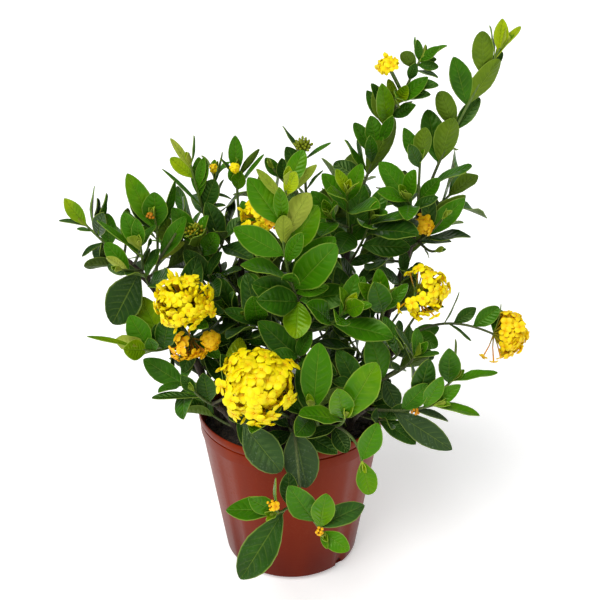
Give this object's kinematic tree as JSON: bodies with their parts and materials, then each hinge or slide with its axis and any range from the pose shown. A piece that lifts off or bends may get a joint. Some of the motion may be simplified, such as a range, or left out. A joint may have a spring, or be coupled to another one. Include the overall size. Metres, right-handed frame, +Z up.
{
  "type": "potted ixora plant",
  "caption": "Bushy ixora shrub with glossy paired leaves and dense domed heads of small four-lobed flowers, growing in a tapered plastic nursery pot filled with soil.",
  "frame": {"origin": "middle of the pot's flat underside", "axes": "+Z up along the pot's axis, -Y towards the front of the plant, +X towards the side with the tall branches"},
  "size_m": [0.3981, 0.2723, 0.497],
  "materials": {
    "pot_plastic": "thin soft nursery plastic, brownish terracotta, satin",
    "potting_mix": "dark moist crumbly potting mix",
    "bark": "rough dark brown bark",
    "leaf": "leathery leaf, dark and glossy when old, yellow-green when young",
    "petal": "soft matt yellow petals with orange tubes"
  },
  "bodies": {
    "root": {"pot": "pot_plastic", "soil": "potting_mix", "wood_left": "bark", "wood_front_left": "bark", "wood_back_left": "bark", "wood_centre": "bark", "wood_back": "bark", "wood_tall": "bark", "wood_right": "bark", "wood_low_right": "bark", "wood_front": "bark", "bloom_front": "petal", "bloom_left": "petal", "bloom_small": "petal", "bloom_back": "petal", "bloom_right": "petal", "bloom_far_right": "petal", "bloom_top": "petal", "shoot_far_left": "leaf", "shoot_left_rosette": "leaf", "shoot_left_top": "leaf", "shoot_left_low": "leaf", "shoot_bloom_left_stem": "leaf", "shoot_low_left": "leaf", "shoot_back_left_tall": "leaf", "shoot_back_left_inner": "leaf", "shoot_bud_left": "leaf", "shoot_bloom_back_stem": "leaf", "shoot_centre": "leaf", "shoot_centre_back": "leaf", "shoot_young": "leaf", "shoot_tall_branch": "leaf", "shoot_tallest_branch": "leaf", "shoot_right_upright": "leaf", "shoot_right_inner": "leaf", "shoot_right_side": "leaf", "shoot_bloom_right_stem": "leaf", "shoot_mid_right": "leaf", "shoot_arm_right": "leaf", "shoot_mid_front": "leaf", "shoot_low_right_back": "leaf", "shoot_low_right_fore": "leaf", "shoot_arm_low_right": "leaf", "shoot_front_right": "leaf", "shoot_front_middle": "leaf", "shoot_hanging": "leaf", "shoot_bloom_front_stem": "leaf", "shoot_inner_left": "leaf", "shoot_inner_middle": "leaf", "shoot_inner_right": "leaf", "shoot_inner_back": "leaf", "shoot_back_far_left": "leaf", "shoot_back_left_low": "leaf", "shoot_back_middle": "leaf", "shoot_back_middle_low": "leaf", "shoot_back_right_top": "leaf", "shoot_back_right_low": "leaf", "shoot_back_far_right": "leaf", "shoot_back_right_side": "leaf"}
  },
  "joints": []
}
